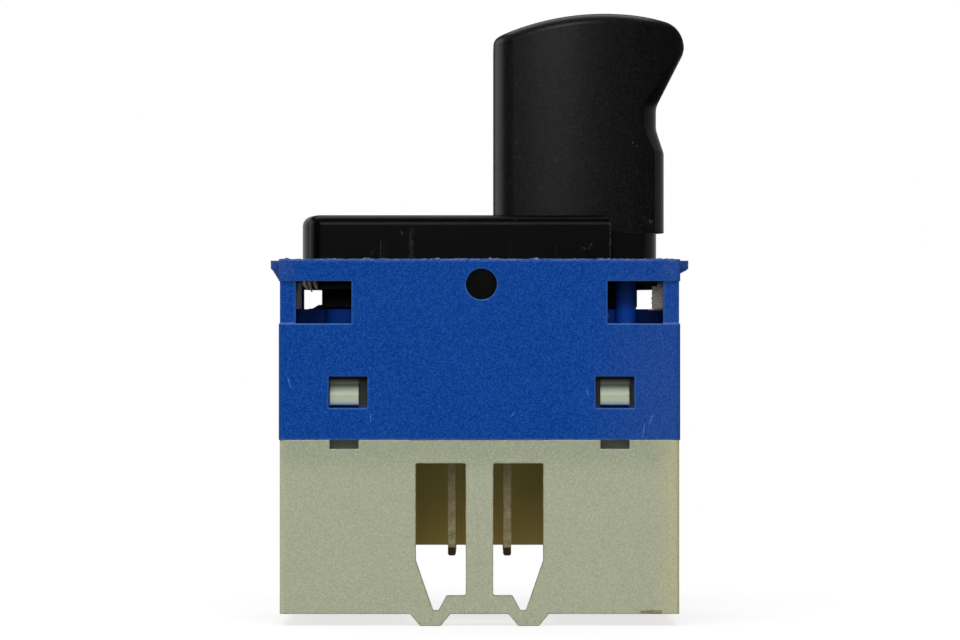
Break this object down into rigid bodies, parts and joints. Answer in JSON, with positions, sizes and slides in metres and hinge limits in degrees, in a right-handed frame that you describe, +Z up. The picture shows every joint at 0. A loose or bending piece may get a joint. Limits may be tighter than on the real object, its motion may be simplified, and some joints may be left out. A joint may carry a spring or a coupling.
{
  "type": "power window switch",
  "caption": "Rocker switch for a car's power window: tall finger knob on a tilting rocker in a blue frame, over a base with a plug socket.",
  "frame": {"origin": "under the middle of the housing, level with the feet of the plug socket", "axes": "+X along the switch towards the finger knob's nose, +Y across it along the rocker's pivot, +Z up through the knob"},
  "size_m": [0.0422, 0.022, 0.0615],
  "materials": {
    "blue_housing": "satin, moulded",
    "pale_housing": "matt, moulded",
    "black_rocker": "semi-gloss, moulded",
    "black_knob": "satin, fine grain",
    "natural_plunger": "smooth, moulded",
    "spring_steel": "drawn wire",
    "brass_strip": "stamped strip, dulled",
    "contact_metal": "welded contact pad"
  },
  "bodies": {
    "housing": {"frame": "blue_housing", "base": "pale_housing", "common_terminal_front": "brass_strip", "fixed_terminal_front_left": "brass_strip", "fixed_contact_front_left": "contact_metal", "fixed_terminal_front_right": "brass_strip", "fixed_contact_front_right": "contact_metal", "common_terminal_rear": "brass_strip", "fixed_terminal_rear_left": "brass_strip", "fixed_contact_rear_left": "contact_metal", "fixed_terminal_rear_right": "brass_strip", "fixed_contact_rear_right": "contact_metal"},
    "rocker": {"rocker": "black_rocker", "knob": "black_knob", "plunger_spring_front": "spring_steel", "plunger_spring_rear": "spring_steel"},
    "plunger_front": {"plunger_front": "natural_plunger"},
    "seesaw_front": {"seesaw_front": "brass_strip", "moving_contacts_front": "contact_metal"},
    "plunger_rear": {"plunger_rear": "natural_plunger"},
    "seesaw_rear": {"seesaw_rear": "brass_strip", "moving_contacts_rear": "contact_metal"}
  },
  "joints": [
    {"name": "rocker_tilt", "type": "hinge", "parent": "housing", "child": "rocker", "pos_m": [0.0002, 0, 0.0342], "axis": [0, 1, 0], "range_deg": [-6, 6], "stiffness_Nm_per_rad": 0.6},
    {"name": "seesaw_front_tilt", "type": "hinge", "parent": "housing", "child": "seesaw_front", "pos_m": [0.0002, -0.0044, 0.02265], "axis": [0, 1, 0], "range_deg": [-4, 4]},
    {"name": "seesaw_rear_tilt", "type": "hinge", "parent": "housing", "child": "seesaw_rear", "pos_m": [0.0002, 0.0044, 0.02265], "axis": [0, 1, 0], "range_deg": [-4, 4]},
    {"name": "plunger_front_slide", "type": "slide", "parent": "rocker", "child": "plunger_front", "axis": [0, 0, 1], "range_m": [0, 0.0006], "stiffness_N_per_m": 400, "springref_m": -0.002, "deforming": ["plunger_spring_front"]},
    {"name": "plunger_rear_slide", "type": "slide", "parent": "rocker", "child": "plunger_rear", "axis": [0, 0, 1], "range_m": [0, 0.0006], "stiffness_N_per_m": 400, "springref_m": -0.002, "deforming": ["plunger_spring_rear"]}
  ],
  "couplings": [
    {"joint": "seesaw_front_tilt", "follows": "rocker_tilt", "ratio": -0.6666},
    {"joint": "seesaw_rear_tilt", "follows": "rocker_tilt", "ratio": -0.6666}
  ]
}
